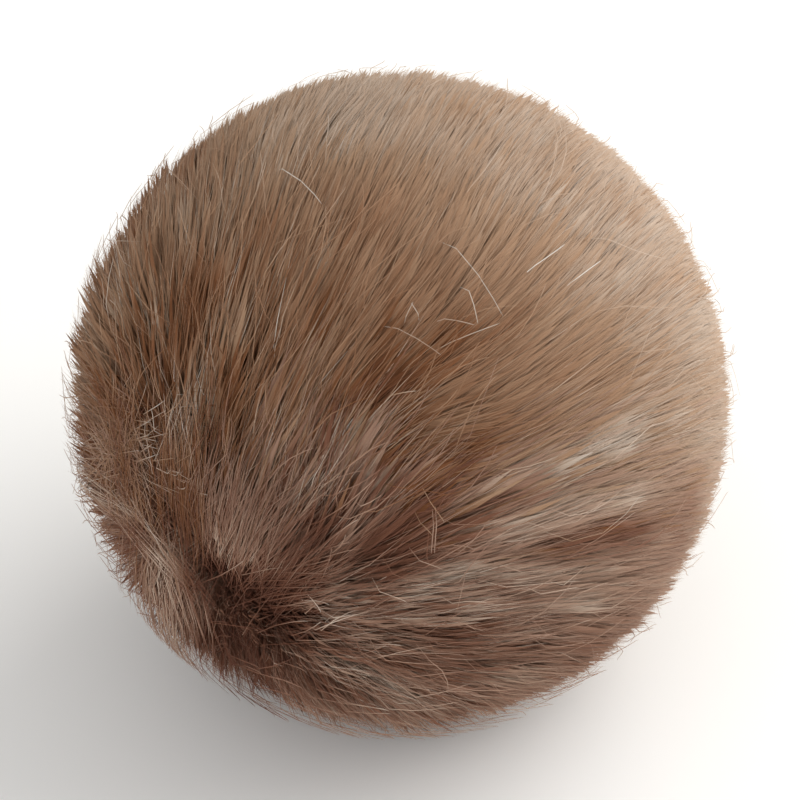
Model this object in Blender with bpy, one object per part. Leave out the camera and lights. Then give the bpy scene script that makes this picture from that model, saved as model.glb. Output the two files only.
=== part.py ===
"""A long-haired faux fur pom pom, lying on a flat surface.

The real thing is one disc of long-pile fur cloth, gathered at its rim into a ball. The cloth
itself can't be seen. What shows is the pile: locks of hair that leave the round backing, part at
a whorl and sweep away from it over the ball, turning a little as they go, until they close again
underneath, where the cloth is gathered. The locks there are shorter and end level on the surface.

Metres, +Z up. The origin is on the surface, under the middle of the ball. The whorl faces -X -Y,
a little below the ball's middle.
"""

import cmath
import math
import random

import bmesh
import bpy
from mathutils import Vector

# The ball
OUTER_RADIUS = 0.065  # the tips of the pile, 130 mm across
CENTRE_HEIGHT = 0.058  # the ball sinks 7 mm into its own pile, which makes the flat spot
BACKING_RADIUS = 0.044  # the gathered fur cloth that the locks are rooted in

# The way that the pile lies
WHORL = Vector((-0.676, -0.692, -0.252)).normalized()  # where the pile parts
SWEEP = 0.95  # radians that a lock leans over from its root to its tip, at most
LEAN_AT_WHORL = 0.8  # near the whorl, the tips stand exp(0.8) times further apart than the roots
TURN = -0.42  # how far a lock turns about the whorl, as a share of how far it leans from it

# The locks
LOCKS_PER_EDGE = 7  # on each side of a cube blown up to a ball: 6 x 7 x 7 = 294 locks
GAP = 0.0011  # bare backing between two roots, before the pile's lean spreads or closes it
SECTIONS = (0.34, 0.68, 1.0)  # shares of a lock's length where it has a cross-section
FULLNESS = (0.92, 0.66, 0.09)  # its width there, as a share of the space that it has
FLOOR_FULLNESS = 0.40  # the same at the end of a lock that rests on the surface
SHORTEST = 0.86  # the shortest lock, as a share of the longest
EVEN_AT = 0.75  # the share of their length where the locks are evenly spaced
UNEVEN = 0.16  # how far a lock strays from an even spacing, as a share of it
RISE = 0.55  # how much steeper a lock leaves its root than it would if it climbed evenly
SEED = 7

FUR_COLOUR = (0.35, 0.21, 0.135, 1.0)
FUR_ROUGHNESS = 0.7


def on_map(direction):
    """A direction's spot on a flat map of the ball, drawn from the point straight underneath."""
    return complex(direction.x, -direction.y) / (1 + direction.z)


WHORL_ON_MAP = on_map(WHORL)


def off_map(spot):
    """The direction that is at this spot on the map."""
    size = abs(spot) ** 2
    return Vector((2 * spot.real, -2 * spot.imag, 1 - size)) / (1 + size)


def lean_of(direction):
    """How far the lock here leans, as the map's growth about the whorl. Its tip lies up to SWEEP
    radians from its root, and less where the pile parts and where it closes."""
    spot = on_map(direction)
    speed = abs(spot - WHORL_ON_MAP) * 2 / (1 + abs(spot) ** 2) * abs(complex(1, TURN))
    return SWEEP / math.hypot(SWEEP / LEAN_AT_WHORL, speed)


def swept(direction, share):
    """The direction of a point at this share of a lock, for the lock that has this direction at
    EVEN_AT of its length. On the map, the locks are arcs of spirals about the whorl."""
    growth = lean_of(direction) * (share - EVEN_AT) * complex(1, TURN)
    return off_map(WHORL_ON_MAP + (on_map(direction) - WHORL_ON_MAP) * cmath.exp(growth))


def reach(direction):
    """How far the longest lock reaches this way: to the sphere, or to the surface under it."""
    if direction.z >= 0:
        return OUTER_RADIUS
    return min(OUTER_RADIUS, CENTRE_HEIGHT / -direction.z)


def place(direction, share):
    """A point of a lock, which rises fast from the backing and then leans over."""
    way = swept(direction, share)
    rise = share + RISE * share * (1 - share)
    return way * (BACKING_RADIUS + (reach(way) - BACKING_RADIUS) * rise)


def add_backing(bm, chance):
    """A cube of small squares blown up to a ball, each square for one lock."""
    bmesh.ops.create_cube(bm, size=2.0)
    bmesh.ops.subdivide_edges(bm, edges=bm.edges[:], cuts=LOCKS_PER_EDGE - 1, use_grid_fill=True)
    stray = UNEVEN * math.pi / 2 / LOCKS_PER_EDGE
    for vert in bm.verts:
        even = Vector([math.tan(x * math.pi / 4) for x in vert.co]).normalized()
        moved = even + Vector([chance.uniform(-stray, stray) for _ in range(3)])
        vert.co = moved.normalized() * BACKING_RADIUS


def grow_locks(bm, chance):
    """One lock from each square, which is inset, moved to the lock's root and then extruded from
    section to section."""
    space = bm.verts.layers.float_vector.new("space")
    number = bm.faces.layers.int.new("lock")
    squares = bm.faces[:]
    bmesh.ops.inset_individual(bm, faces=squares, thickness=GAP / 2, use_even_offset=True)
    middles, lengths = [], []
    for i, face in enumerate(squares):
        middle = face.calc_center_median().normalized()
        face[number] = i
        middles.append(middle)
        on_floor = reach(swept(middle, 1.0)) < OUTER_RADIUS
        lengths.append(1.0 if on_floor else chance.uniform(SHORTEST, 1.0))
    for vert in bm.verts:
        vert[space] = vert.co.normalized()
        vert.co = swept(vert[space], 0.0) * BACKING_RADIUS
    ends = squares
    for share, full in zip(SECTIONS, FULLNESS):
        ends = bmesh.ops.extrude_discrete_faces(bm, faces=ends)["faces"]
        for face in ends:
            middle, length = middles[face[number]], lengths[face[number]]
            rests = share == 1.0 and reach(swept(middle, 1.0)) < OUTER_RADIUS
            width = FLOOR_FULLNESS if rests else full
            for vert in face.verts:
                vert.co = place(middle.lerp(vert[space], width).normalized(), share * length)


def stand_on_origin(bm):
    """Lifts the ball onto the surface and puts the middle of its outline over the origin."""
    middle = [
        (min(v.co[axis] for v in bm.verts) + max(v.co[axis] for v in bm.verts)) / 2
        for axis in range(2)
    ]
    bmesh.ops.translate(bm, verts=bm.verts[:], vec=(-middle[0], -middle[1], CENTRE_HEIGHT))


def fur_material():
    material = bpy.data.materials.new("fur")
    material.use_nodes = True
    shader = material.node_tree.nodes["Principled BSDF"]
    shader.inputs["Base Color"].default_value = FUR_COLOUR
    shader.inputs["Roughness"].default_value = FUR_ROUGHNESS
    shader.inputs["Metallic"].default_value = 0.0
    return material


def make_pompom():
    chance = random.Random(SEED)
    bm = bmesh.new()
    add_backing(bm, chance)
    grow_locks(bm, chance)
    stand_on_origin(bm)
    bmesh.ops.recalc_face_normals(bm, faces=bm.faces[:])
    mesh = bpy.data.meshes.new("fur_pompom")
    bm.to_mesh(mesh)
    bm.free()
    mesh.materials.append(fur_material())
    pompom = bpy.data.objects.new("fur_pompom", mesh)
    bpy.context.scene.collection.objects.link(pompom)
    return pompom


for leftover in list(bpy.data.objects):
    bpy.data.objects.remove(leftover)
make_pompom()
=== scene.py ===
import math

import bmesh
import bpy
import numpy as np
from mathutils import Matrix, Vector, kdtree


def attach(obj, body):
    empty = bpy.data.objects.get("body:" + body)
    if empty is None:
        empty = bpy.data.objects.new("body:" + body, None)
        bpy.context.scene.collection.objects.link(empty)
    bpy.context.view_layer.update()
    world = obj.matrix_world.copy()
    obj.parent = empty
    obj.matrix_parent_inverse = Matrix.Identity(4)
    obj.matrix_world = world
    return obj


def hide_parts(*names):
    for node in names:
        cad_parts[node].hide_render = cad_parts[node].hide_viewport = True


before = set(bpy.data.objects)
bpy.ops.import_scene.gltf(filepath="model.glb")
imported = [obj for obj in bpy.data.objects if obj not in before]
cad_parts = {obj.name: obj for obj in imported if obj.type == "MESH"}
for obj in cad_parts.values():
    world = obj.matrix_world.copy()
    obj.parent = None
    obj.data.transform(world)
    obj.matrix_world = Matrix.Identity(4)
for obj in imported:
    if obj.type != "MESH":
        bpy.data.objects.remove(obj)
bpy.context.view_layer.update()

# A faux fur pom pom: a stuffed ball of gathered fur cloth, with a long pile that parts at a
# whorl and sweeps away from it over the ball. Metres, +Z up, standing on z = 0.

picture = {
    "size": 800,  # pixels each way
    "ballRadius": 337,  # the ball's outline in the picture
}

camera = {
    "azimuth": 0.0,  # degrees from the front
    "elevation": 40.0,  # degrees above the floor
    "distance": 0.62,  # from the ball's middle
    "sensor": 36.0,  # mm wide
}

ball = {
    "outerRadius": 0.065,  # to the tips of the pile
    "centreHeight": 0.058,  # less, because the ball sinks into its own pile
    "backingRadius": 0.044,  # of the cloth that the pile is rooted in
    "whorl": (-0.676, -0.692, -0.252),  # where the pile parts
    "sweep": 0.95,  # radians that a hair leans over from its root to its tip, away from the whorl
    "leanAtWhorl": 0.8,  # near the whorl, the tips stand exp(0.8) times further apart than the roots
    "turn": -0.42,  # how far a hair turns about the whorl, as a share of how far it leans from it
    "rise": 0.55,  # how much steeper a hair leaves its root than it would if it climbed evenly
    "evenAt": 0.75,  # the share of their length where the hairs are evenly spaced
}
centre = np.array([0.0, 0.0, ball["centreHeight"]])


def unit(vectors):
    return vectors / np.maximum(np.linalg.norm(vectors, axis=-1, keepdims=True), 1e-12)


def smooth(low, high, x):
    t = np.clip((x - low) / (high - low), 0, 1)
    return t * t * (3 - 2 * t)


# The picture's own directions, and how wide the camera sees at one metre from it
azimuth, elevation = math.radians(camera["azimuth"]), math.radians(camera["elevation"])
towards = np.array([
    math.sin(azimuth) * math.cos(elevation),
    -math.cos(azimuth) * math.cos(elevation),
    math.sin(elevation),
])
right = np.array([math.cos(azimuth), math.sin(azimuth), 0.0])
up = np.cross(towards, right)
edgeSlope = math.tan(math.asin(ball["outerRadius"] / camera["distance"]))
halfView = edgeSlope * (picture["size"] / 2) / picture["ballRadius"]


def facing(x, y):
    # The way from the ball's middle to what this pixel of the picture shows of its outside.
    middle = picture["size"] / 2
    across = right * (x - middle) / middle * halfView
    ray = unit(across + up * (middle - y) / middle * halfView - towards)
    eye = towards * camera["distance"]
    near = eye @ ray
    depth = max(near * near - eye @ eye + ball["outerRadius"] ** 2, 0.0)
    return unit(eye + ray * (-near - math.sqrt(depth)))


def onMap(directions):  # places on a flat map of the ball, drawn from straight underneath
    return (directions[..., 0] - 1j * directions[..., 1]) / np.maximum(1 + directions[..., 2], 1e-9)


def offMap(places):
    size = np.abs(places) ** 2
    flat = np.stack([2 * places.real, -2 * places.imag, 1 - size], -1)
    return flat / (1 + size)[..., None]


whorl = unit(np.array(ball["whorl"]))
whorlOnMap = onMap(whorl)
spiral = complex(1, ball["turn"])


def leanOf(directions):  # the map's growth about the whorl that leans a hair over by the sweep
    places = onMap(directions)
    speed = np.abs(places - whorlOnMap) * 2 / (1 + np.abs(places) ** 2) * abs(spiral)
    return ball["sweep"] / np.hypot(ball["sweep"] / ball["leanAtWhorl"], speed)


def swept(directions, share):
    # Where the hairs point at this share of their length, for hairs that have these directions
    # at evenAt of it. On the map they are arcs of spirals about the whorl.
    growth = leanOf(directions) * (share - ball["evenAt"]) * spiral
    return offMap(whorlOnMap + (onMap(directions) - whorlOnMap) * np.exp(growth))


def reach(directions):  # to the sphere, or to the floor under it
    down = np.maximum(-directions[..., 2], 1e-6)
    return np.minimum(ball["outerRadius"], ball["centreHeight"] / down)


def atHeight(directions, height):  # from 0 at the backing to 1 at the ends of the pile
    return ball["backingRadius"] + (reach(directions) - ball["backingRadius"]) * height


def evenDirections(count, rng, uneven):
    # Spread evenly over the ball, and then moved by about this share of the space that each has.
    i = np.arange(count) + 0.5
    z = 1 - 2 * i / count
    turn = i * math.pi * (3 - math.sqrt(5))  # by the golden angle each
    flat = np.sqrt(1 - z * z)
    spread = np.stack([flat * np.cos(turn), flat * np.sin(turn), z], 1)
    return unit(spread + rng.normal(0, uneven * math.sqrt(4 * math.pi / count), spread.shape))


def level(vectors, directions):  # what is left of the vectors along the ball's surface
    return vectors - (vectors * directions).sum(-1, keepdims=True) * directions


tangentSpread = 0.7  # of each coordinate, which makes what is level about one long


def tangents(directions, rng):  # a random sideways vector for each direction
    return level(rng.normal(0, tangentSpread, directions.shape), directions)


def fromWhorl(directions):  # radians
    return np.arccos(np.clip(directions @ whorl, -1, 1))


# The pile is ruffled near the whorl and calm far from it.
pile = {
    "calming": (0.4, 1.9),  # radians from the whorl between which it gets calm
    "clingLess": 0.8,  # how much less its hairs cling together where it is calm
    "evener": 0.6,  # how much closer to the same length they are there
    "strayNear": 1.3,  # how far they stray near the whorl, and one less than that where it is calm
    "varietyNear": 1.5,  # how much their tones differ near the whorl
    "varietyLess": 1.2,  # and how much less where it is calm
    "rounderLess": 0.95,  # how much less round the locks look there
    # Painted light: where the pile is calm the roots take on colours from further up, which lifts the
    # shade between the hairs
    "paintedLightAtRoots": 0.5,  # the share of their colours from root to tip that is left out at the root
    # All over it
    "clingPower": 1.4,  # of the share of its length, with which a hair's clinging grows
    "lifted": 0.5,  # how much of a lock's lift its hairs take on
    "looseStray": 3.5,  # how many times as far the loose ones stray
    # Painted highlights: these hairs are paler all along, for the glints on the pile
    "glinting": 0.14,  # the share of the hairs that are paler
    "highest": 1.05,  # where they end at most, as a share of the pile's depth
}


def calmness(directions):
    return smooth(*pile["calming"], fromWhorl(directions))


# Strokes that comb the tips aside: where in the picture, how wide in radians, which way in the
# picture (right, up) and how far in metres
combing = [
    {"at": (180, 380), "width": 0.45, "way": (1.0, 0.0), "by": 0.0140},
    {"at": (300, 120), "width": 0.16, "way": (1.0, 0.3), "by": 0.0100},
    {"at": (130, 300), "width": 0.18, "way": (1.0, 0.0), "by": 0.0090},
    {"at": (630, 270), "width": 0.35, "way": (-0.4, 1.0), "by": 0.0045},
    {"at": (485, 225), "width": 0.16, "way": (-1.0, 0.6), "by": 0.0060},
    {"at": (350, 505), "width": 0.24, "way": (-0.8, 1.0), "by": 0.0175},
    {"at": (416, 400), "width": 0.18, "way": (0.5, -1.0), "by": 0.0180},
    {"at": (310, 680), "width": 0.22, "way": (0.3, 1.0), "by": 0.0130},
    {"at": (490, 680), "width": 0.20, "way": (0.0, 1.0), "by": 0.0110},
    {"at": (140, 590), "width": 0.22, "way": (0.3, -1.0), "by": 0.0100},
]


def combed(directions):
    push = np.zeros(directions.shape)
    for stroke in combing:
        apart = np.arccos(np.clip(directions @ facing(*stroke["at"]), -1, 1))
        way = unit(right * stroke["way"][0] + up * stroke["way"][1])
        push += np.exp(-(apart / stroke["width"]) ** 2)[:, None] * way * stroke["by"]
    return level(push, directions)


# Lines in the picture along which the pile is lower or paler than it is round about: how wide in
# radians, how much lower as a share of its depth, and how much paler on the scale of the tones
shaping = [
    # the parting beside the whorl, and the hollow in the middle of it
    {"along": [(150, 436), (158, 490)], "width": 0.060, "lower": 0.10, "paler": 0.08},
    {"along": [(162, 500), (188, 562), (206, 594)], "width": 0.068, "lower": 0.22, "paler": -0.04},
    {"along": [(190, 592), (222, 600)], "width": 0.045, "lower": 0.10, "paler": -0.36},
    {"along": [(212, 592), (240, 604), (272, 614)], "width": 0.062, "lower": 0.26, "paler": -0.33},
    {"along": [(318, 622), (344, 622)], "width": 0.040, "lower": -0.04, "paler": 0.10},
    {"along": [(114, 424), (124, 456), (124, 488)], "width": 0.055, "lower": 0.00, "paler": -0.16},
    {"along": [(92, 426), (100, 456), (102, 486)], "width": 0.060, "lower": 0.22, "paler": 0.00},
    {"along": [(212, 650), (232, 684), (252, 708)], "width": 0.080, "lower": 0.10, "paler": -0.40},
    {"along": [(268, 640), (292, 656)], "width": 0.040, "lower": 0.06, "paler": -0.30},
    {"along": [(236, 500), (234, 540), (232, 566)], "width": 0.060, "lower": -0.06, "paler": 0.04},
    {"along": [(262, 588), (310, 590)], "width": 0.045, "lower": 0.04, "paler": -0.16},
    {"along": [(178, 548), (204, 590)], "width": 0.040, "lower": 0.03, "paler": -0.16},
    {"along": [(210, 536), (222, 556), (300, 566)], "width": 0.035, "lower": 0.00, "paler": 0.18},
    {"along": [(214, 548), (222, 568)], "width": 0.030, "lower": -0.08, "paler": 0.14},
    # the ridge below the parting
    {
        "along": [(76, 478), (128, 514), (172, 560), (200, 640)],
        "width": 0.060, "lower": -0.03, "paler": 0.09,
    },
    {"along": [(150, 564), (156, 600), (174, 640)], "width": 0.060, "lower": 0.00, "paler": 0.18},
    {"along": [(114, 530), (142, 536)], "width": 0.040, "lower": 0.05, "paler": -0.34},
    # the left side
    {"along": [(192, 284), (174, 322), (156, 356)], "width": 0.070, "lower": 0.05, "paler": -0.23},
    {"along": [(116, 240), (108, 300)], "width": 0.060, "lower": 0.00, "paler": 0.17},
    {"along": [(280, 250), (276, 330)], "width": 0.045, "lower": 0.00, "paler": 0.08},
    {"along": [(104, 370), (88, 400)], "width": 0.060, "lower": 0.05, "paler": -0.19},
    {"along": [(166, 404), (186, 446)], "width": 0.050, "lower": -0.03, "paler": 0.15},
    {"along": [(90, 396), (134, 412)], "width": 0.045, "lower": 0.03, "paler": -0.18},
    {"along": [(222, 360), (208, 446)], "width": 0.038, "lower": 0.06, "paler": -0.20},
    {"along": [(136, 320), (150, 376), (180, 430)], "width": 0.035, "lower": 0.00, "paler": 0.14},
    {"along": [(150, 236), (166, 296)], "width": 0.055, "lower": 0.00, "paler": -0.10},
    # the clumps above and beside the whorl
    {"along": [(286, 560), (304, 546), (322, 528)], "width": 0.055, "lower": 0.12, "paler": -0.22},
    {"along": [(364, 574), (398, 560), (428, 546)], "width": 0.045, "lower": 0.08, "paler": -0.18},
    {"along": [(368, 548), (404, 530), (442, 508)], "width": 0.040, "lower": 0.05, "paler": -0.20},
    {"along": [(388, 582), (450, 572)], "width": 0.030, "lower": 0.03, "paler": -0.18},
    {"along": [(394, 328), (370, 368), (350, 404)], "width": 0.040, "lower": 0.00, "paler": -0.06},
    {"along": [(354, 398), (410, 374)], "width": 0.035, "lower": 0.03, "paler": -0.12},
    {"along": [(316, 500), (340, 440)], "width": 0.030, "lower": 0.00, "paler": 0.14},
    {"along": [(466, 524), (530, 508)], "width": 0.035, "lower": 0.03, "paler": -0.14},
    {"along": [(346, 560), (358, 520), (372, 480)], "width": 0.035, "lower": -0.04, "paler": 0.11},
    {"along": [(404, 428), (392, 470)], "width": 0.035, "lower": 0.03, "paler": -0.14},
    {"along": [(394, 386), (420, 356), (452, 326)], "width": 0.050, "lower": 0.06, "paler": -0.11},
    {"along": [(440, 398), (480, 372), (560, 396)], "width": 0.050, "lower": 0.00, "paler": 0.06},
    {"along": [(410, 490), (446, 474), (482, 455)], "width": 0.050, "lower": 0.05, "paler": -0.14},
    {"along": [(385, 255), (350, 290), (325, 335)], "width": 0.030, "lower": 0.00, "paler": 0.07},
    # pale and dark bands low and on the right
    {"along": [(308, 612), (350, 626), (402, 640)], "width": 0.060, "lower": -0.02, "paler": 0.21},
    {"along": [(430, 594), (500, 588), (612, 582)], "width": 0.060, "lower": 0.00, "paler": 0.23},
    {"along": [(462, 510), (520, 493)], "width": 0.030, "lower": 0.00, "paler": 0.17},
    {"along": [(480, 626), (610, 612)], "width": 0.050, "lower": 0.00, "paler": 0.21},
    {"along": [(530, 548), (600, 534)], "width": 0.030, "lower": 0.00, "paler": 0.12},
    {"along": [(316, 680), (360, 698), (400, 712)], "width": 0.045, "lower": 0.00, "paler": 0.16},
    {"along": [(560, 556), (620, 544), (672, 535)], "width": 0.045, "lower": 0.05, "paler": -0.17},
    {"along": [(510, 536), (570, 516), (652, 500)], "width": 0.055, "lower": 0.00, "paler": 0.20},
    {"along": [(520, 470), (560, 460), (642, 440)], "width": 0.060, "lower": 0.00, "paler": 0.17},
    {"along": [(420, 640), (510, 636)], "width": 0.050, "lower": 0.03, "paler": -0.09},
    {"along": [(706, 490), (690, 556)], "width": 0.060, "lower": 0.00, "paler": -0.17},
    {"along": [(400, 700), (480, 705), (530, 690)], "width": 0.060, "lower": 0.00, "paler": 0.09},
    # the top left
    {"along": [(190, 190), (290, 140)], "width": 0.250, "lower": 0.00, "paler": 0.12},
    {"along": [(350, 130), (335, 200), (312, 280)], "width": 0.035, "lower": 0.00, "paler": 0.05},
]
spotsOnLine = 16  # the distance to a line is the one to the nearest of these


def nearLine(directions, line):
    corners = np.array(line["along"], float)
    order = range(len(corners))
    spots = []
    for k in np.linspace(0, len(corners) - 1, spotsOnLine):
        spots.append(facing(np.interp(k, order, corners[:, 0]), np.interp(k, order, corners[:, 1])))
    apart = np.arccos(np.clip((directions @ np.array(spots).T).max(-1), -1, 1))
    return np.exp(-(apart / line["width"]) ** 2)


def shaped(directions, what):
    return sum(line[what] * nearLine(directions, line) for line in shaping)


# The locks that the hairs cling together in: how many, how far they stray aside in metres, and how
# far they differ in lift, length and tone
locks = {
    "wide": {"count": 900, "stray": 0.0030, "lift": 0.12, "length": 0.08, "tone": 0.05},
    "fine": {"count": 6000, "stray": 0.0014, "lift": 0.06, "length": 0.05, "tone": 0.04},
    "seed": 11,
    "uneven": 0.5,
    "roundness": 0.45,  # how far a fine lock's normals turn towards its sides
}


def makeLocks():
    rng = np.random.default_rng(locks["seed"])
    made = {}
    for kind in ("wide", "fine"):
        s = locks[kind]
        seen = evenDirections(s["count"], rng, locks["uneven"])
        tree = kdtree.KDTree(len(seen))
        for i, point in enumerate(seen):
            tree.insert(point, i)
        tree.balance()
        made[kind] = {
            "tree": tree,
            "seen": seen,
            "stray": tangents(seen, rng) * s["stray"],
            "lift": rng.normal(0, s["lift"], len(seen)),
            "length": rng.uniform(-s["length"], s["length"], len(seen)),
            "tone": rng.normal(0, s["tone"], len(seen)),
        }
    print("locks:", {k: len(v["seen"]) for k, v in made.items()})
    return made


def nearest(tree, points):
    return np.array([tree.find(p)[1] for p in points])


def strandTemplate(sides, shares):
    # A closed tapered tube along z, pointed at both ends, z being the share of its length.
    bm = bmesh.new()
    bmesh.ops.create_circle(bm, segments=sides, radius=1.0)
    for v in bm.verts:
        v.co.z = shares[1]
    firstEdges = edges = bm.edges[:]
    for share in shares[2:-1]:
        grown = bmesh.ops.extrude_edge_only(bm, edges=edges)["geom"]
        edges = [g for g in grown if isinstance(g, bmesh.types.BMEdge)]
        for v in (g for g in grown if isinstance(g, bmesh.types.BMVert)):
            v.co.z = share
    for ringEdges, share in ((firstEdges, shares[0]), (edges, shares[-1])):
        grown = bmesh.ops.extrude_edge_only(bm, edges=ringEdges)["geom"]
        ends = [g for g in grown if isinstance(g, bmesh.types.BMVert)]
        bmesh.ops.pointmerge(bm, verts=ends, merge_co=Vector((0, 0, share)))
    bmesh.ops.recalc_face_normals(bm, faces=bm.faces[:])
    bmesh.ops.triangulate(bm, faces=bm.faces[:])
    bm.verts.ensure_lookup_table()
    points = np.array([v.co for v in bm.verts])
    faces = np.array([[v.index for v in f.verts] for f in bm.faces])
    bm.free()
    return points, faces


tones = {
    "atWhorl": 0.19,
    # How much paler the pile gets between these distances from the whorl, in radians: partly its own
    # colour, and partly painted light for the lamp that falls on the side away from the whorl
    "rises": [{"between": (0.3, 0.7), "by": 0.15}, {"between": (1.35, 2.0), "by": 0.20}],
    "darkest": 0.04,
    "palest": 0.96,
    # The likelihood of a cooler tone grows to one from the first height in the picture down to the
    # second, and to coolNear from the first distance from the whorl to the second.
    "coolHeights": (0.1, -0.5),
    "coolDistances": (0.9, 0.4),
    "coolNear": 0.5,
}


def baseTone(directions):  # how pale the pile is, from the whorl to the far side of the ball
    # Partly painted light: the pile is paler away from the whorl, where the lamp falls on it.
    tone = tones["atWhorl"]
    for rise in tones["rises"]:
        tone = tone + rise["by"] * smooth(*rise["between"], fromWhorl(directions))
    return tone + shaped(directions, "paler")


def onRamp(tone, directions, rng):
    # The lower half of the colour ramps holds the golden tones, and the upper half the cooler ones.
    low = smooth(*tones["coolHeights"], directions @ up)
    near = tones["coolNear"] * smooth(*tones["coolDistances"], fromWhorl(directions))
    cool = rng.random((len(directions), 1)) < np.maximum(low, near)[:, None]
    return (np.clip(tone, tones["darkest"], tones["palest"]) + cool) / 2


def hairPaths(s, made, rng):
    seen = evenDirections(s["count"], rng, s["uneven"])
    count = len(seen)
    wide, fine = made["wide"], made["fine"]
    ofWide, ofFine = nearest(wide["tree"], seen), nearest(fine["tree"], seen)
    far = calmness(seen)[:, None]
    clinging = 1 - pile["clingLess"] * far
    length = rng.uniform(*s["length"], count)
    length += (s["lengthFar"] - length) * pile["evener"] * far[:, 0]
    length *= 1 + (wide["length"][ofWide] + fine["length"][ofFine]) * clinging[:, 0]
    lift = (wide["lift"][ofWide] + fine["lift"][ofFine]) * clinging[:, 0]
    lower = shaped(seen, "lower")
    own = tangents(seen, rng) * s["wander"]
    own *= np.where(rng.random((count, 1)) < s["loose"], pile["looseStray"], 1.0)
    sideways = (wide["stray"][ofWide] + fine["stray"][ofFine]) * clinging
    sideways += own * (pile["strayNear"] - far) + combed(seen)
    wave = tangents(seen, rng) * s["wave"]
    phase = rng.uniform(0, 2 * math.pi, count)
    path, ways = [], []
    for share in s["shares"]:
        along = share * length
        d = swept(seen, along)
        for kind, group, pull in ((wide, ofWide, s["pullWide"]), (fine, ofFine, s["pullFine"])):
            k = pull * clinging * share ** pile["clingPower"]
            d = unit(d * (1 - k) + swept(kind["seen"][group], along) * k)
        height = along * (1 + ball["rise"] * (1 - along))
        height *= 1 + lift * share**2 * pile["lifted"] - lower * share
        d = unit(d * ball["outerRadius"] + sideways * share**2)
        radius = atHeight(d, np.minimum(height, pile["highest"]))
        path.append(d * radius[:, None] + wave * (np.sin(phase + s["bends"] * share) * share)[:, None])
        ways.append(d)
    path = np.stack(path, 1) + centre
    tone = wide["tone"][ofWide] + fine["tone"][ofFine] + rng.normal(0, s["tone"], count)
    # Painted highlights: a share of the hairs is made paler.
    tone += np.where(rng.random(count) < pile["glinting"], s["glint"], 0.0)
    tone = tone[:, None] * (pile["varietyNear"] - pile["varietyLess"] * far)
    tone = onRamp(baseTone(np.stack(ways, 1)) + tone, seen, rng)
    rounding = level(seen - fine["seen"][ofFine], seen) / math.sqrt(math.pi / locks["fine"]["count"])
    return path, tone, rounding * locks["roundness"] * (1 - pile["rounderLess"] * far), far


strand = {
    "seedStep": 1000,  # from the seed of the piece
    "widths": (0.75, 1.25),  # from the thinnest to the thickest of a piece
    "ends": (0.002, 0.998),  # v at its root and its tip
}


def growStrands(s, path, tone, rounding, far):
    rng = np.random.default_rng(s["seed"] + strand["seedStep"])
    count = len(path)
    shares = np.array(s["shares"])
    points, faces = strandTemplate(s["sides"], shares)
    path[..., 2] = np.maximum(path[..., 2], s["width"])
    ring = np.abs(points[:, 2:3] - shares[None]).argmin(1)
    forward = unit(np.gradient(path, axis=1))
    outward = unit(path - centre)
    side = unit(np.cross(outward, forward))
    top = np.cross(forward, side)
    width = s["width"] * rng.uniform(*strand["widths"], (count, 1)) * (1 + s["widerFar"] * far)
    profile = np.interp(points[:, 2], shares, s["profile"])[None]
    across = (width * profile * points[:, 0])[..., None] * side[:, ring]
    deep = (width * profile * points[:, 1] * s["flatness"])[..., None] * top[:, ring]
    verts = (path[:, ring] + across + deep).reshape(-1, 3)
    verts[:, 2] = np.maximum(verts[:, 2], 0.0)
    # The normals lean from the strand's own towards those of the ball and of the lock it is in.
    own = side[:, ring] * points[None, :, 0:1] + top[:, ring] * points[None, :, 1:2] / s["flatness"]
    whole = unit(outward[:, ring] + rounding[:, None])
    soft = (s["soft"] + s["softerFar"] * far)[..., None]
    normals = unit(unit(own) * (1 - soft) + whole * soft).reshape(-1, 3)
    allFaces = (faces[None] + (np.arange(count) * len(points))[:, None, None]).reshape(-1, 3)
    # u holds the tone there, with a sliver to each side of it. v runs from root to tip, and starts
    # later far from the whorl, so that the roots there are paler: painted light, which lifts the shade
    # between the hairs.
    u = tone[:, ring] + s["sliver"] * points[None, :, 0]
    v = 1 - (1 - np.clip(points[None, :, 2], *strand["ends"])) * (1 - pile["paintedLightAtRoots"] * far)
    uv = np.stack([u, v], -1).reshape(-1, 2)
    mesh = bpy.data.meshes.new(s["name"])
    mesh.vertices.add(len(verts))
    mesh.vertices.foreach_set("co", verts.astype(np.float32).ravel())
    mesh.loops.add(allFaces.size)
    mesh.loops.foreach_set("vertex_index", allFaces.astype(np.int32).ravel())
    mesh.polygons.add(len(allFaces))
    mesh.polygons.foreach_set("loop_start", np.arange(0, allFaces.size, 3, dtype=np.int32))
    mesh.update(calc_edges=True)
    mesh.validate()
    layer = mesh.uv_layers.new(name="OFBake")
    layer.uv.foreach_set("vector", uv[allFaces.ravel()].astype(np.float32).ravel())
    mesh.shade_smooth()
    mesh.normals_split_custom_set_from_vertices(normals.astype(np.float32))
    print(s["name"], "strands:", count, "triangles:", len(allFaces))
    return mesh


def node(tree, kind, place, **values):
    made = tree.nodes.new(kind)
    made.location = place
    for name, value in values.items():
        setattr(made, name, value)
    return made


def setInputs(made, **values):
    for name, value in values.items():
        made.inputs[name.replace("_", " ")].default_value = value


def ramp(tree, place, stops):
    made = node(tree, "ShaderNodeValToRGB", place)
    elements = made.color_ramp.elements
    while len(elements) < len(stops):
        elements.new(0.5)
    for element, (position, colour) in zip(elements, stops):
        element.position = position
        element.color = (*colour, 1.0)
    return made


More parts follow.
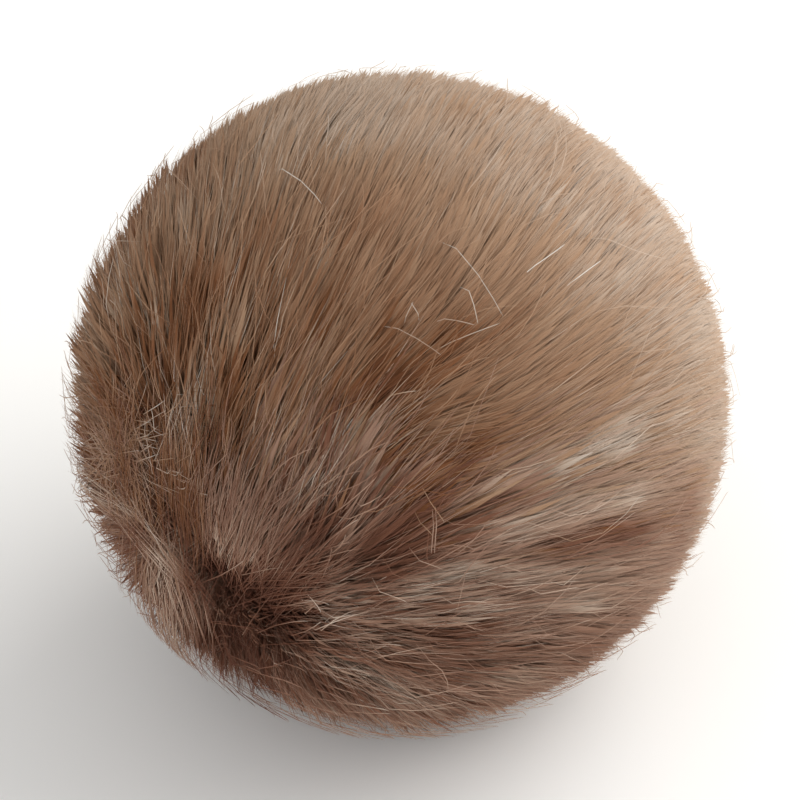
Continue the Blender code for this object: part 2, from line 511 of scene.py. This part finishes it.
def hairStreaks():
    # Fine streaks that run along a hair or a lock, out of its tone and its length.
    group = bpy.data.node_groups.new("hair streaks", "ShaderNodeTree")
    for name in ("Tone", "Along", "Across scale", "Along scale"):
        group.interface.new_socket(name, in_out="INPUT", socket_type="NodeSocketFloat")
    group.interface.new_socket("Streak", in_out="OUTPUT", socket_type="NodeSocketFloat")
    start = node(group, "NodeGroupInput", (-800, 0))
    end = node(group, "NodeGroupOutput", (400, 0))
    across = node(group, "ShaderNodeMath", (-600, 100), operation="MULTIPLY")
    along = node(group, "ShaderNodeMath", (-600, -100), operation="MULTIPLY")
    joined = node(group, "ShaderNodeCombineXYZ", (-400, 0))
    noise = node(group, "ShaderNodeTexNoise", (-200, 0), noise_dimensions="2D")
    setInputs(noise, Scale=1.0, Detail=3.0, Roughness=0.6)
    wider = node(group, "ShaderNodeMapRange", (100, 0))
    setInputs(wider, From_Min=0.3, From_Max=0.7)
    link = group.links.new
    link(start.outputs["Tone"], across.inputs[0])
    link(start.outputs["Across scale"], across.inputs[1])
    link(start.outputs["Along"], along.inputs[0])
    link(start.outputs["Along scale"], along.inputs[1])
    link(across.outputs[0], joined.inputs["X"])
    link(along.outputs[0], joined.inputs["Y"])
    link(joined.outputs[0], noise.inputs["Vector"])
    link(noise.outputs["Fac"], wider.inputs["Value"])
    link(wider.outputs["Result"], end.inputs["Streak"])
    return group


furColours = {
    # From the brown pile round the whorl to the pale pile far from it, and once more, but cooler
    "under": [
        (0.0, (0.105, 0.038, 0.017)), (0.125, (0.225, 0.094, 0.042)), (0.25, (0.423, 0.268, 0.170)),
        (0.375, (0.739, 0.693, 0.631)), (0.49, (0.880, 0.868, 0.842)),
        (0.51, (0.105, 0.038, 0.021)), (0.625, (0.224, 0.102, 0.063)), (0.75, (0.430, 0.280, 0.202)),
        (0.875, (0.770, 0.648, 0.540)), (1.0, (0.910, 0.840, 0.770)),
    ],
    # The hairs' pale tones are darker than the locks': painted shade that evens out the extra light on
    # the hairs lying on top.
    "over": [
        (0.0, (0.122, 0.044, 0.020)), (0.125, (0.238, 0.100, 0.043)), (0.25, (0.408, 0.261, 0.168)),
        (0.375, (0.664, 0.625, 0.572)), (0.49, (0.795, 0.785, 0.765)),
        (0.51, (0.120, 0.043, 0.025)), (0.625, (0.236, 0.108, 0.068)), (0.75, (0.422, 0.280, 0.207)),
        (0.875, (0.700, 0.590, 0.495)), (1.0, (0.820, 0.760, 0.700)),
    ],
    # How much of that colour it has, from its root to its tip. Brown hair is dark at its roots. On
    # pale hair the lower part is painted light, as bright as its tip, for the light that gets through
    # pale hair, and the very tip is painted shade, a little darker, for the extra light on the top of
    # the pile.
    "alongBrown": [
        (0.0, (0.50, 0.36, 0.28)), (0.35, (0.74, 0.62, 0.54)), (0.62, (0.92, 0.87, 0.83)),
        (1.0, (1.0, 1.0, 1.0)),
    ],
    # Painted light at the lower part of pale hair, and painted shade at its very tip
    "alongPaleLightAndShade": [
        (0.0, (0.94, 0.88, 0.82)), (0.75, (0.96, 0.92, 0.88)), (0.90, (0.92, 0.91, 0.89)),
        (1.0, (0.86, 0.85, 0.83)),
    ],
    "paleness": [
        (0.0, (0.0, 0.0, 0.0)), (0.20, (0.0, 0.0, 0.0)), (0.33, (1.0, 1.0, 1.0)),
        (0.49, (1.0, 1.0, 1.0)), (0.51, (0.0, 0.0, 0.0)), (0.70, (0.0, 0.0, 0.0)),
        (0.83, (1.0, 1.0, 1.0)),
    ],
}


def furMaterial(name, streaks, settings):
    material = bpy.data.materials.new(name)
    material.use_nodes = True
    tree = material.node_tree
    link = tree.links.new
    shader = tree.nodes["Principled BSDF"]
    setInputs(shader, Sheen_Weight=settings["sheen"], Sheen_Roughness=0.4)
    setInputs(shader, Sheen_Tint=(1.0, 0.8, 0.6, 1.0), Specular_IOR_Level=settings["specular"])
    where = node(tree, "ShaderNodeUVMap", (-1200, 0), uv_map="OFBake")
    split = node(tree, "ShaderNodeSeparateXYZ", (-1000, 0))
    streak = node(tree, "ShaderNodeGroup", (-800, -200), node_tree=streaks)
    setInputs(streak, Across_scale=settings["acrossScale"], Along_scale=settings["alongScale"])
    colours = ramp(tree, (-800, 550), furColours[settings["layer"]])
    alongBrown = ramp(tree, (-1100, 300), furColours["alongBrown"])
    alongPaleLightAndShade = ramp(tree, (-1100, 50), furColours["alongPaleLightAndShade"])
    paleness = ramp(tree, (-1100, 550), furColours["paleness"])
    alongHair = node(tree, "ShaderNodeMix", (-700, 250), data_type="RGBA")
    deepen = node(tree, "ShaderNodeMix", (-400, 250), data_type="RGBA", blend_type="MULTIPLY")
    shade = node(tree, "ShaderNodeMix", (-200, 250), data_type="RGBA", blend_type="MULTIPLY")
    dim = ramp(tree, (-500, -50), [(0.0, (settings["dim"],) * 3), (1.0, (1.0, 1.0, 1.0))])
    fade = node(tree, "ShaderNodeMapRange", (-700, 50))
    setInputs(fade, To_Min=1.0, To_Max=settings["streaksFar"])
    rough = node(tree, "ShaderNodeMapRange", (-400, -300))
    setInputs(rough, To_Min=settings["roughness"][0], To_Max=settings["roughness"][1])
    bump = node(tree, "ShaderNodeBump", (-200, -400))
    setInputs(bump, Strength=settings["bump"], Distance=0.0003)
    deepen.inputs["Factor"].default_value = 1.0
    link(where.outputs["UV"], split.inputs[0])
    link(split.outputs["X"], streak.inputs["Tone"])
    link(split.outputs["Y"], streak.inputs["Along"])
    link(split.outputs["X"], colours.inputs["Fac"])
    link(split.outputs["X"], paleness.inputs["Fac"])
    link(split.outputs["Y"], alongBrown.inputs["Fac"])
    link(split.outputs["Y"], alongPaleLightAndShade.inputs["Fac"])
    link(paleness.outputs["Color"], alongHair.inputs["Factor"])
    link(alongBrown.outputs["Color"], alongHair.inputs["A"])
    link(alongPaleLightAndShade.outputs["Color"], alongHair.inputs["B"])
    link(colours.outputs["Color"], deepen.inputs["A"])
    link(alongHair.outputs["Result"], deepen.inputs["B"])
    link(paleness.outputs["Color"], fade.inputs["Value"])
    link(fade.outputs["Result"], shade.inputs["Factor"])
    link(streak.outputs["Streak"], dim.inputs["Fac"])
    link(deepen.outputs["Result"], shade.inputs["A"])
    link(dim.outputs["Color"], shade.inputs["B"])
    link(shade.outputs["Result"], shader.inputs["Base Color"])
    link(streak.outputs["Streak"], rough.inputs["Value"])
    link(rough.outputs["Result"], shader.inputs["Roughness"])
    link(streak.outputs["Streak"], bump.inputs["Height"])
    link(bump.outputs["Normal"], shader.inputs["Normal"])
    return material


def backingMaterial():
    # The knitted ground that the pile is rooted in. It is brown near the whorl and pale away from it;
    # the pale part is painted light, which lifts the shade seen through gaps in the pile.
    material = bpy.data.materials.new("knitted backing")
    material.use_nodes = True
    tree = material.node_tree
    link = tree.links.new
    shader = tree.nodes["Principled BSDF"]
    where = node(tree, "ShaderNodeTexCoord", (-1000, 0))
    knit = node(tree, "ShaderNodeTexVoronoi", (-700, 0))
    setInputs(knit, Scale=900.0)
    mottle = node(tree, "ShaderNodeTexNoise", (-700, -300))
    setInputs(mottle, Scale=60.0, Detail=4.0)
    brown = ramp(tree, (-400, 100), [(0.0, (0.090, 0.040, 0.022)), (1.0, (0.220, 0.105, 0.055))])
    # Painted light: the pale colour that the backing takes on away from the whorl
    pale = ramp(tree, (-400, 350), [(0.0, (0.600, 0.450, 0.310)), (1.0, (0.700, 0.550, 0.400))])
    offset = node(tree, "ShaderNodeVectorMath", (-900, 300), operation="SUBTRACT")
    offset.inputs[1].default_value = centre + whorl * ball["backingRadius"]
    away = node(tree, "ShaderNodeVectorMath", (-700, 300), operation="LENGTH")
    paintedLightFar = node(tree, "ShaderNodeMapRange", (-500, 500))
    setInputs(paintedLightFar, From_Min=0.02, From_Max=0.07)
    colour = node(tree, "ShaderNodeMix", (-150, 200), data_type="RGBA")
    rough = node(tree, "ShaderNodeMapRange", (-400, -200))
    setInputs(rough, To_Min=0.75, To_Max=0.95)
    bump = node(tree, "ShaderNodeBump", (-300, -450))
    setInputs(bump, Strength=0.6, Distance=0.0004)
    link(where.outputs["Object"], knit.inputs["Vector"])
    link(where.outputs["Object"], mottle.inputs["Vector"])
    link(where.outputs["Object"], offset.inputs[0])
    link(offset.outputs[0], away.inputs[0])
    link(away.outputs["Value"], paintedLightFar.inputs["Value"])
    link(mottle.outputs["Fac"], brown.inputs["Fac"])
    link(mottle.outputs["Fac"], pale.inputs["Fac"])
    link(paintedLightFar.outputs["Result"], colour.inputs["Factor"])
    link(brown.outputs["Color"], colour.inputs["A"])
    link(pale.outputs["Color"], colour.inputs["B"])
    link(mottle.outputs["Fac"], rough.inputs["Value"])
    link(knit.outputs["Distance"], bump.inputs["Height"])
    link(colour.outputs["Result"], shader.inputs["Base Color"])
    link(rough.outputs["Result"], shader.inputs["Roughness"])
    link(bump.outputs["Normal"], shader.inputs["Normal"])
    return material


def place(name, mesh, material):
    mesh.materials.append(material)
    piece = bpy.data.objects.new(name, mesh)
    bpy.context.scene.collection.objects.link(piece)
    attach(piece, "root")
    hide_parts("fur_pompom")
    return piece


madeLocks = makeLocks()
streaks = hairStreaks()
lockFur = furMaterial("fur locks", streaks, {
    "layer": "under",
    "acrossScale": 420.0, "alongScale": 3.0, "dim": 0.78, "roughness": (0.55, 0.8),
    "bump": 0.4, "specular": 0.05, "sheen": 0.0, "streaksFar": 0.4,
})
hairFur = furMaterial("fur hairs", streaks, {
    "layer": "over",
    "acrossScale": 900.0, "alongScale": 9.0, "dim": 0.86, "roughness": (0.45, 0.65),
    "bump": 0.1, "specular": 0.12, "sheen": 0.15, "streaksFar": 0.4,
})

backing = {
    "subdivisions": 4,
    "lumps": 0.0012,  # how high they stand
    "waves": np.array([9, 8, 7]),  # radians of them in one radius, each way
    "shifts": np.array([2, 0, 1]),
}


def makeBacking():
    bm = bmesh.new()
    bmesh.ops.create_icosphere(bm, subdivisions=backing["subdivisions"], radius=ball["backingRadius"])
    for v in bm.verts:
        x, y, z = backing["waves"] * (np.array(v.co) / ball["backingRadius"]) + backing["shifts"]
        lump = math.sin(x) * math.sin(y) * math.cos(z)
        v.co += v.co.normalized() * lump * backing["lumps"]
    bmesh.ops.translate(bm, verts=bm.verts[:], vec=centre)
    bmesh.ops.recalc_face_normals(bm, faces=bm.faces[:])
    mesh = bpy.data.meshes.new("fur_backing")
    bm.to_mesh(mesh)
    bm.free()
    mesh.shade_smooth()
    return mesh


core = place("fur_backing", makeBacking(), backingMaterial())
print("backing done")

# Soft wide locks lie under the hairs. For both, shares are of a strand's length and profile is its
# width there. It waves aside by wave metres, in as many radians as bends says. pullWide and pullFine
# are how far its tip is drawn to the middle of its locks. sliver is how much of the colour ramp its
# width spans, and soft how far its normals turn from its own to the ball's. What ends in Far is for
# where the pile is calm.
lockPiece = {
    "kind": "locks", "pieces": 2, "seedFrom": 41,
    "count": 9600, "uneven": 0.7, "sides": 3, "width": 0.0007, "flatness": 0.3,
    "shares": [0.0, 0.3, 0.6, 0.85, 1.0], "profile": [0.2, 1.0, 1.0, 0.6, 0.0],
    "length": (0.62, 0.88), "wander": 0.0012, "loose": 0.0, "wave": 0.0003, "bends": 5,
    "pullWide": 0.3, "pullFine": 0.3, "tone": 0.02, "glint": 0.0, "sliver": 0.012,
    "soft": 0.75, "softerFar": 0.2, "widerFar": 1.1, "lengthFar": 0.90,
}
hairPiece = {
    "kind": "hair", "pieces": 3, "seedFrom": 51,
    "count": 15000, "uneven": 0.7, "sides": 3, "width": 0.00009, "flatness": 0.4,
    "shares": [0.0, 0.45, 0.8, 1.0], "profile": [0.5, 1.0, 0.85, 0.0],
    "length": (0.76, 1.0), "wander": 0.0022, "loose": 0.3, "wave": 0.0010, "bends": 5,
    "pullWide": 0.28, "pullFine": 0.34, "tone": 0.06, "glint": 0.12, "sliver": 0.002,
    "soft": 0.60, "softerFar": 0.37, "widerFar": 0.3, "lengthFar": 0.95,
}
for piece, material in ((lockPiece, lockFur), (hairPiece, hairFur)):
    for i in range(piece["pieces"]):
        settings = dict(piece, name=f"fur_{piece['kind']}_{i + 1}", seed=piece["seedFrom"] + i)
        paths = hairPaths(settings, madeLocks, np.random.default_rng(settings["seed"]))
        place(settings["name"], growStrands(settings, *paths), material)

# Hairs that have come loose and lie across the rest. Each of the named ones follows three of the
# picture's pixels: where it comes out of the pile, a bend, and its tip. The others start out the
# way that the pile lies from aheadFrom of its length on.
strayPiece = {
    "name": "fur_strays", "sides": 3, "seed": 41, "width": 0.00008, "flatness": 0.7,
    "shares": [0.0, 0.3, 0.5, 0.66, 0.8, 0.9, 1.0], "profile": [0.5, 1.0, 1.0, 1.0, 0.9, 0.7, 0.0],
    "sliver": 0.002, "soft": 0.4, "softerFar": 0.4, "widerFar": 0.0,
    "heights": [0.0, 0.8, 0.97, 1.04], "count": 2400, "uneven": 1.0, "fewerFar": 0.75,
    "length": (0.006, 0.022), "aheadFrom": 0.6, "turn": 0.5, "bend": 0.16,
    "paler": (-0.02, 0.2), "palerLessFar": 0.7, "namedPaler": 0.30,
    "named": [
        [(262, 158), (302, 174), (323, 207)],
        [(436, 226), (478, 266), (502, 318)],
        [(465, 278), (475, 300), (477, 325)],
        [(434, 349), (466, 335), (499, 324)],
        [(434, 317), (455, 318), (474, 326)],
        [(380, 320), (415, 334), (441, 356)],
        [(527, 270), (545, 259), (563, 246)],
        [(574, 281), (586, 271), (599, 262)],
        [(388, 396), (402, 392), (416, 391)],
        [(404, 320), (408, 311), (413, 303)],
        [(421, 317), (416, 309), (411, 304)],
        [(424, 494), (437, 512), (444, 521)],
        [(416, 521), (425, 527), (432, 534)],
        [(435, 518), (433, 535), (431, 552)],
        [(438, 515), (436, 534), (434, 552)],
        [(410, 560), (430, 565), (443, 568)],
        [(370, 592), (388, 595), (407, 600)],
        [(96, 461), (118, 452), (143, 450)],
        [(77, 485), (100, 478), (124, 473)],
        [(165, 476), (178, 496), (188, 486)],
        [(189, 491), (197, 494), (210, 494)],
        [(179, 569), (182, 584), (183, 600)],
        [(292, 607), (310, 597), (331, 603)],
        [(298, 590), (312, 599), (322, 610)],
    ],
}
# Beside the whorl, short pale hairs lie in a tangle. Pale tufts run along the ridge below it, and
# a fuzz of brown ones lies over the parting and above it. In a tuft, the hairs slip along its line
# and part from each other by these shares of its length and its spread, and vary this much in tone.
tanglePiece = {
    "name": "fur_tangle", "sides": 3, "seed": 43, "width": 0.00007, "flatness": 0.7,
    "shares": [0.0, 0.3, 0.5, 0.75, 1.0], "profile": [0.5, 1.0, 1.0, 0.9, 0.0],
    "sliver": 0.002, "soft": 0.4, "softerFar": 0.0, "widerFar": 0.0,
    "heights": [0.0, 0.84, 0.98, 1.03], "at": (118, 452), "radius": 0.0058, "count": 420,
    "length": (0.006, 0.013), "bend": 0.01, "paler": (0.05, 0.30),
    "slip": 0.12, "part": 0.4, "vary": 0.08,
    "tufts": [
        {"line": [(72, 476), (100, 494), (134, 518)], "count": 28, "spread": 0.0022, "paler": 0.3},
        {"line": [(104, 492), (136, 520), (166, 556)], "count": 28, "spread": 0.0022, "paler": 0.3},
        {"line": [(140, 530), (172, 556), (200, 600)], "count": 28, "spread": 0.0022, "paler": 0.3},
        {"line": [(172, 562), (190, 600), (202, 642)], "count": 28, "spread": 0.0024, "paler": 0.3},
        {"line": [(146, 548), (154, 590), (160, 636)], "count": 70, "spread": 0.0048, "paler": 0.18},
        {"line": [(158, 580), (170, 624), (182, 664)], "count": 60, "spread": 0.0045, "paler": 0.16},
        {"line": [(160, 466), (178, 488), (186, 474)], "count": 7, "spread": 0.0009, "paler": 0.26},
        {"line": [(174, 430), (182, 482), (188, 536)], "count": 150, "spread": 0.0034, "paler": -0.06},
        {"line": [(232, 580), (240, 536), (264, 488)], "count": 130, "spread": 0.0036, "paler": 0.02},
        {"line": [(252, 584), (276, 550), (312, 510)], "count": 130, "spread": 0.0036, "paler": 0.00},
        {"line": [(262, 596), (300, 588), (346, 574)], "count": 60, "spread": 0.0030, "paler": 0.00},
        {"line": [(208, 562), (208, 512), (224, 464)], "count": 80, "spread": 0.0030, "paler": 0.04},
    ],
}
lying = {
    "heightsAt": [0, 0.3, 0.5, 1.0],  # the shares of a hair's length that its heights are given for
    "turnsFrom": 0.25,  # the share where it starts to turn from its first direction
    "seedStep": 500,  # from the seed of the piece
}


def lyingPaths(s, first, turning, last, paler):
    # Hairs that rise through the pile and then lie on it, from one direction past a bend to another.
    path, ways = [], []
    for share in s["shares"]:
        k = smooth(lying["turnsFrom"], 1.0, share)
        d = unit(first * (1 - k) ** 2 + turning * 2 * k * (1 - k) + last * k * k)
        radius = atHeight(d, np.interp(share, lying["heightsAt"], s["heights"]))
        path.append(d * radius[:, None])
        ways.append(d)
    path = np.stack(path, 1) + centre
    tone = baseTone(np.stack(ways, 1)) + paler[:, None]
    tone = onRamp(tone, first, np.random.default_rng(s["seed"] + lying["seedStep"]))
    return path, tone, np.zeros(first.shape), calmness(first)[:, None]


def strayPaths(s):
    rng = np.random.default_rng(s["seed"])
    seen = evenDirections(s["count"], rng, s["uneven"])
    seen = seen[rng.random(len(seen)) > s["fewerFar"] * calmness(seen)]
    ahead = unit(level(swept(seen, 1.0) - swept(seen, s["aheadFrom"]), seen))
    ways = unit(ahead + tangents(seen, rng) * s["turn"])
    far = ways * rng.uniform(*s["length"], (len(seen), 1)) / ball["outerRadius"]
    bends = np.cross(seen, far) * rng.normal(0, s["bend"], (len(seen), 1))
    named = np.array([[facing(*pixel) for pixel in hair] for hair in s["named"]])
    first = np.concatenate([named[:, 0], seen])
    turning = np.concatenate([named[:, 1], unit(seen + far * 0.5 + bends)])
    last = np.concatenate([named[:, 2], unit(seen + far)])
    paler = rng.uniform(*s["paler"], len(seen)) * (1 - s["palerLessFar"] * calmness(seen))
    paler = np.concatenate([np.full(len(named), s["namedPaler"]), paler])
    return lyingPaths(s, first, turning, last, paler)


def tanglePaths(s):
    rng = np.random.default_rng(s["seed"])
    around = np.repeat(facing(*s["at"])[None], s["count"], 0)
    starts = unit(around + tangents(around, rng) * s["radius"] / ball["outerRadius"])
    far = unit(tangents(starts, rng)) * rng.uniform(*s["length"], (s["count"], 1))
    far = far / ball["outerRadius"]
    bends = np.cross(starts, far) * rng.normal(0, s["bend"], (s["count"], 1))
    corners = [[starts], [unit(starts + far * 0.5 + bends)], [unit(starts + far)]]
    paler = [rng.uniform(*s["paler"], s["count"])]
    for tuft in s["tufts"]:
        size = (tuft["count"], 3)
        whole = rng.normal(0, tuft["spread"] / ball["outerRadius"], size)
        along = rng.normal(0, s["slip"], (tuft["count"], 1))
        line = [facing(*pixel) for pixel in tuft["line"]]
        for spot, group in zip(line, corners):
            own = rng.normal(0, s["part"] * tuft["spread"] / ball["outerRadius"], size)
            group.append(unit(spot + whole + own + along * (line[2] - line[0])))
        paler.append(tuft["paler"] + rng.normal(0, s["vary"], tuft["count"]))
    return lyingPaths(s, *(np.concatenate(group) for group in corners), np.concatenate(paler))


place("fur_strays", growStrands(strayPiece, *strayPaths(strayPiece)), hairFur)
place("fur_tangle", growStrands(tanglePiece, *tanglePaths(tanglePiece)), hairFur)

# The floor, the light and the camera
stage = {"halfWidth": 3.0, "colour": (0.88, 0.88, 0.87, 1.0), "roughness": 0.8}
floorMesh = bpy.data.meshes.new("floor")
bm = bmesh.new()
bmesh.ops.create_grid(bm, x_segments=1, y_segments=1, size=stage["halfWidth"])
bm.to_mesh(floorMesh)
bm.free()
floor = bpy.data.objects.new("floor", floorMesh)
floorMaterial = bpy.data.materials.new("pale floor")
floorMaterial.use_nodes = True
floorShader = floorMaterial.node_tree.nodes["Principled BSDF"]
setInputs(floorShader, Base_Color=stage["colour"], Roughness=stage["roughness"])
floorMesh.materials.append(floorMaterial)
bpy.context.scene.collection.objects.link(floor)

world = bpy.data.worlds.new("studio")
world.use_nodes = True
setInputs(world.node_tree.nodes["Background"], Color=(1.0, 0.99, 0.97, 1.0), Strength=0.7)
bpy.context.scene.world = world

# Each stands off the ball's middle by parts of the picture's right and up and of the camera's way.
softboxes = [
    {
        "name": "key", "right": 1.0, "up": 0.75, "towards": 0.0, "distance": 0.9,
        "size": 1.2, "power": 13.0, "colour": (1.0, 0.98, 0.95),
    },
    {
        "name": "fill", "right": -0.6, "up": -0.3, "towards": 1.0, "distance": 0.9,
        "size": 0.9, "power": 2.8, "colour": (0.98, 0.97, 1.0),
    },
]
for box in softboxes:
    lamp = bpy.data.lights.new(box["name"], "AREA")
    lamp.size = box["size"]
    lamp.energy = box["power"]
    lamp.color = box["colour"]
    holder = bpy.data.objects.new(box["name"], lamp)
    way = Vector(unit(right * box["right"] + up * box["up"] + towards * box["towards"]))
    holder.location = Vector(centre) + way * box["distance"]
    holder.rotation_euler = (-way).to_track_quat("-Z", "Y").to_euler()
    bpy.context.scene.collection.objects.link(holder)

lens = bpy.data.cameras.new("camera")
lens.sensor_width = camera["sensor"]
lens.lens = camera["sensor"] / 2 / halfView
eye = bpy.data.objects.new("camera", lens)
eye.location = Vector(centre + towards * camera["distance"])
eye.rotation_euler = Vector(-towards).to_track_quat("-Z", "Y").to_euler()
bpy.context.scene.collection.objects.link(eye)
bpy.context.scene.camera = eye
bpy.context.scene.view_settings.view_transform = "Standard"
print("stage done")
